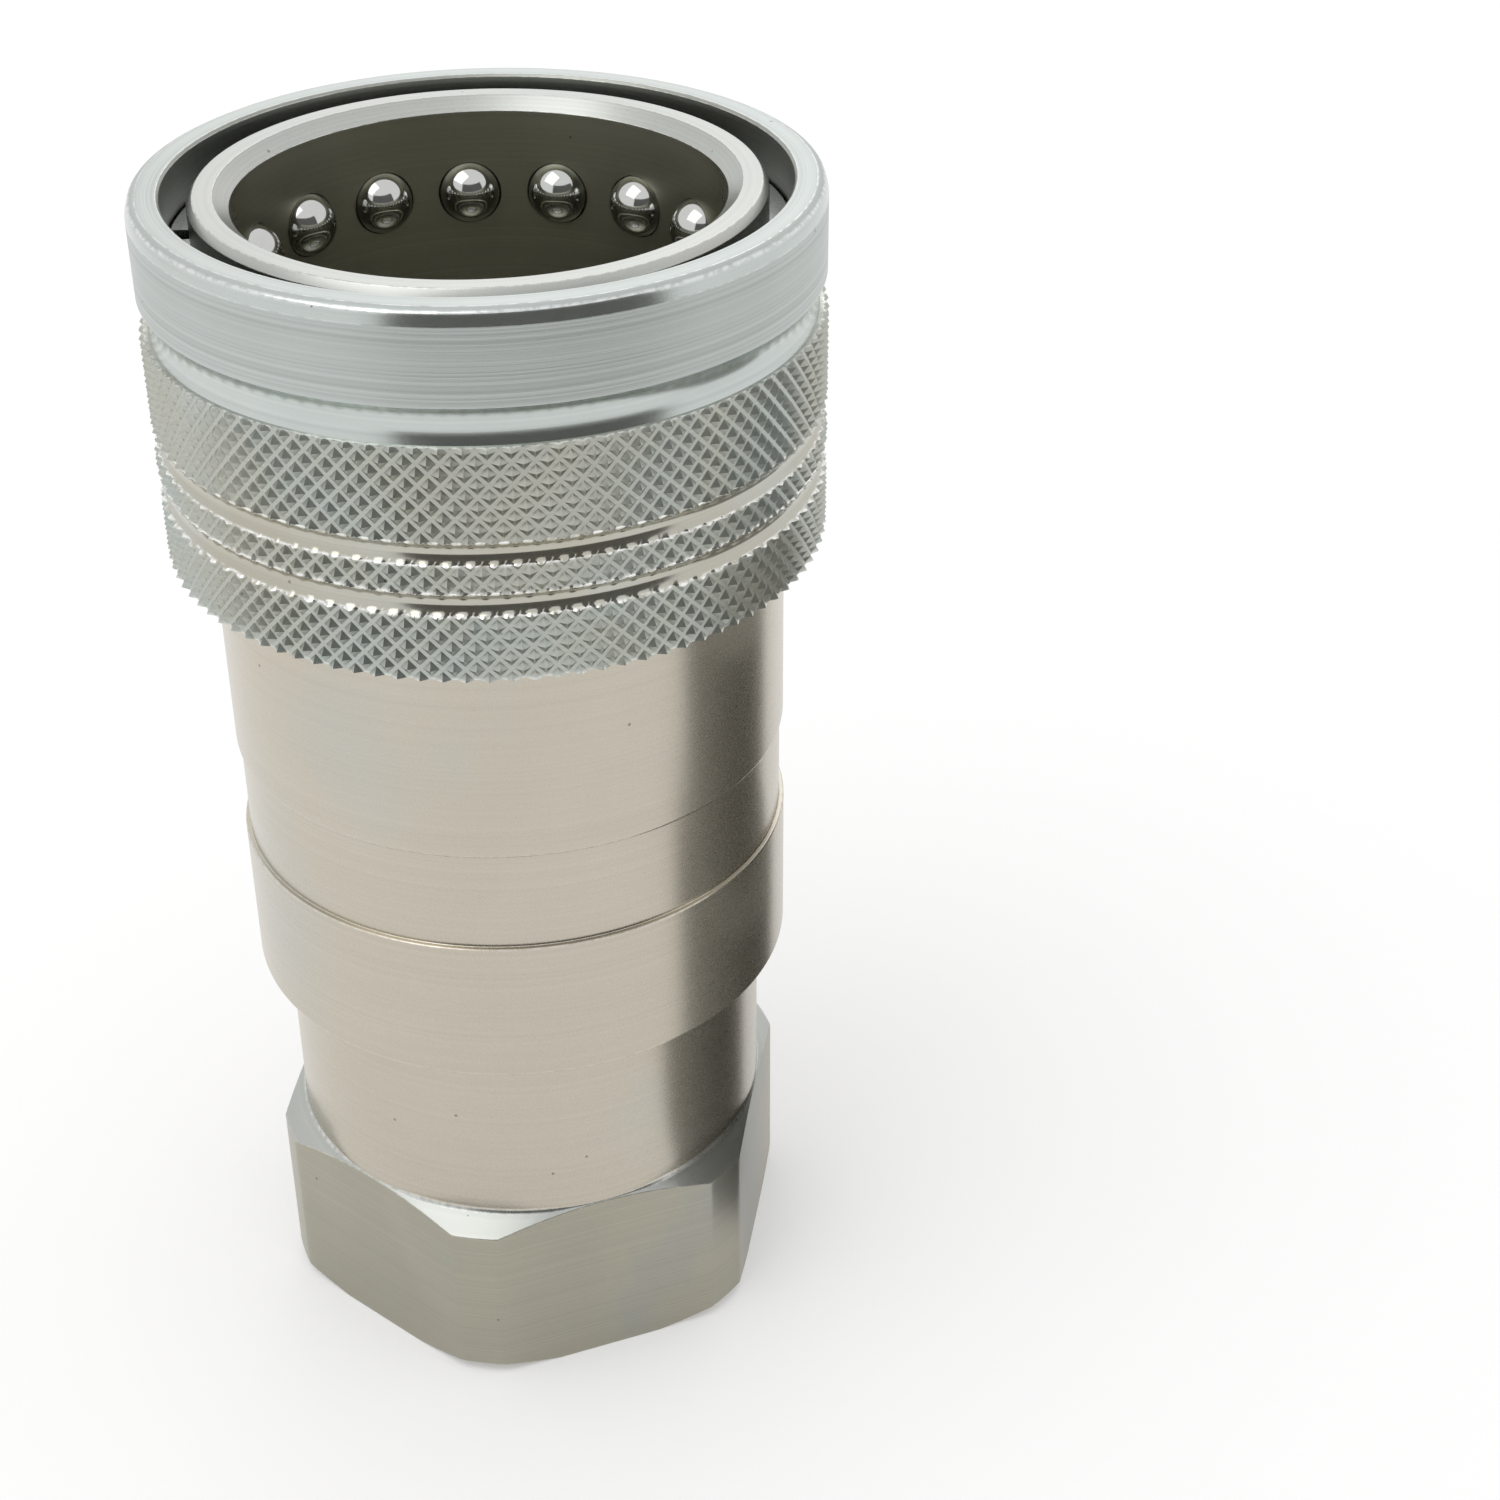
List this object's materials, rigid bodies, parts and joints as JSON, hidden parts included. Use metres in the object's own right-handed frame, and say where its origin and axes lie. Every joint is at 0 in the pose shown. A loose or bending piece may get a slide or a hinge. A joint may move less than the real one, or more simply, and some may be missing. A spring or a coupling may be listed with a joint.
{
  "type": "ball-lock quick coupling socket",
  "caption": "Socket half of a ball-lock fluid quick coupling: knurled pull-back sleeve, ring of lock balls, spring-loaded poppet valve and a hexagon adapter with a threaded port.",
  "frame": {"origin": "centre of the port face, which the coupling stands on", "axes": "+Z along the coupling's axis, from the port towards the mouth; +X through a corner of the hexagon"},
  "size_m": [0.052, 0.052, 0.1003],
  "materials": {
    "body_steel": "satin turned steel with a warm nickel-like plating",
    "sleeve_zinc": "bright zinc-plated turned steel, cool white",
    "zinc_steel": "zinc-plated turned steel",
    "ball_steel": "polished hardened steel ball",
    "spring_wire": "bright spring steel",
    "seal_rubber": "black nitrile rubber",
    "backup_plastic": "off-white fluoropolymer"
  },
  "bodies": {
    "body": {"adapter": "body_steel", "front_body": "body_steel", "joint_seal": "seal_rubber", "valve_guide": "zinc_steel", "valve_spring": "spring_wire", "plug_seal": "seal_rubber", "backup_ring": "backup_plastic", "retaining_ring": "spring_wire", "sleeve_spring": "spring_wire"},
    "valve": {"poppet": "zinc_steel", "valve_seal": "seal_rubber"},
    "sleeve": {"sleeve": "sleeve_zinc"},
    "ball_01": {"ball_01": "ball_steel"},
    "ball_02": {"ball_02": "ball_steel"},
    "ball_03": {"ball_03": "ball_steel"},
    "ball_04": {"ball_04": "ball_steel"},
    "ball_05": {"ball_05": "ball_steel"},
    "ball_06": {"ball_06": "ball_steel"},
    "ball_07": {"ball_07": "ball_steel"},
    "ball_08": {"ball_08": "ball_steel"},
    "ball_09": {"ball_09": "ball_steel"},
    "ball_10": {"ball_10": "ball_steel"},
    "ball_11": {"ball_11": "ball_steel"},
    "ball_12": {"ball_12": "ball_steel"},
    "ball_13": {"ball_13": "ball_steel"},
    "ball_14": {"ball_14": "ball_steel"},
    "ball_15": {"ball_15": "ball_steel"},
    "ball_16": {"ball_16": "ball_steel"}
  },
  "joints": [
    {"name": "sleeve_slide", "type": "slide", "parent": "body", "child": "sleeve", "axis": [0, 0, -1], "range_m": [0, 0.005], "stiffness_N_per_m": 4000, "springref_m": -0.01, "deforming": ["sleeve_spring"]},
    {"name": "valve_slide", "type": "slide", "parent": "body", "child": "valve", "axis": [0, 0, -1], "range_m": [0, 0.007], "stiffness_N_per_m": 1500, "springref_m": -0.01, "deforming": ["valve_spring"]},
    {"name": "ball_01_slide", "type": "slide", "parent": "body", "child": "ball_01", "axis": [0.9848, 0.1736, 0], "range_m": [0, 0.00172]},
    {"name": "ball_02_slide", "type": "slide", "parent": "body", "child": "ball_02", "axis": [0.8434, 0.5373, 0], "range_m": [0, 0.00172]},
    {"name": "ball_03_slide", "type": "slide", "parent": "body", "child": "ball_03", "axis": [0.5736, 0.8192, 0], "range_m": [0, 0.00172]},
    {"name": "ball_04_slide", "type": "slide", "parent": "body", "child": "ball_04", "axis": [0.2164, 0.9763, 0], "range_m": [0, 0.00172]},
    {"name": "ball_05_slide", "type": "slide", "parent": "body", "child": "ball_05", "axis": [-0.1736, 0.9848, 0], "range_m": [0, 0.00172]},
    {"name": "ball_06_slide", "type": "slide", "parent": "body", "child": "ball_06", "axis": [-0.5373, 0.8434, 0], "range_m": [0, 0.00172]},
    {"name": "ball_07_slide", "type": "slide", "parent": "body", "child": "ball_07", "axis": [-0.8192, 0.5736, 0], "range_m": [0, 0.00172]},
    {"name": "ball_08_slide", "type": "slide", "parent": "body", "child": "ball_08", "axis": [-0.9763, 0.2164, 0], "range_m": [0, 0.00172]},
    {"name": "ball_09_slide", "type": "slide", "parent": "body", "child": "ball_09", "axis": [-0.9848, -0.1736, 0], "range_m": [0, 0.00172]},
    {"name": "ball_10_slide", "type": "slide", "parent": "body", "child": "ball_10", "axis": [-0.8434, -0.5373, 0], "range_m": [0, 0.00172]},
    {"name": "ball_11_slide", "type": "slide", "parent": "body", "child": "ball_11", "axis": [-0.5736, -0.8192, 0], "range_m": [0, 0.00172]},
    {"name": "ball_12_slide", "type": "slide", "parent": "body", "child": "ball_12", "axis": [-0.2164, -0.9763, 0], "range_m": [0, 0.00172]},
    {"name": "ball_13_slide", "type": "slide", "parent": "body", "child": "ball_13", "axis": [0.1736, -0.9848, 0], "range_m": [0, 0.00172]},
    {"name": "ball_14_slide", "type": "slide", "parent": "body", "child": "ball_14", "axis": [0.5373, -0.8434, 0], "range_m": [0, 0.00172]},
    {"name": "ball_15_slide", "type": "slide", "parent": "body", "child": "ball_15", "axis": [0.8192, -0.5736, 0], "range_m": [0, 0.00172]},
    {"name": "ball_16_slide", "type": "slide", "parent": "body", "child": "ball_16", "axis": [0.9763, -0.2164, 0], "range_m": [0, 0.00172]}
  ],
  "couplings": [
    {"joint": "ball_01_slide", "follows": "sleeve_slide", "ratio": 0.344},
    {"joint": "ball_02_slide", "follows": "sleeve_slide", "ratio": 0.344},
    {"joint": "ball_03_slide", "follows": "sleeve_slide", "ratio": 0.344},
    {"joint": "ball_04_slide", "follows": "sleeve_slide", "ratio": 0.344},
    {"joint": "ball_05_slide", "follows": "sleeve_slide", "ratio": 0.344},
    {"joint": "ball_06_slide", "follows": "sleeve_slide", "ratio": 0.344},
    {"joint": "ball_07_slide", "follows": "sleeve_slide", "ratio": 0.344},
    {"joint": "ball_08_slide", "follows": "sleeve_slide", "ratio": 0.344},
    {"joint": "ball_09_slide", "follows": "sleeve_slide", "ratio": 0.344},
    {"joint": "ball_10_slide", "follows": "sleeve_slide", "ratio": 0.344},
    {"joint": "ball_11_slide", "follows": "sleeve_slide", "ratio": 0.344},
    {"joint": "ball_12_slide", "follows": "sleeve_slide", "ratio": 0.344},
    {"joint": "ball_13_slide", "follows": "sleeve_slide", "ratio": 0.344},
    {"joint": "ball_14_slide", "follows": "sleeve_slide", "ratio": 0.344},
    {"joint": "ball_15_slide", "follows": "sleeve_slide", "ratio": 0.344},
    {"joint": "ball_16_slide", "follows": "sleeve_slide", "ratio": 0.344}
  ]
}
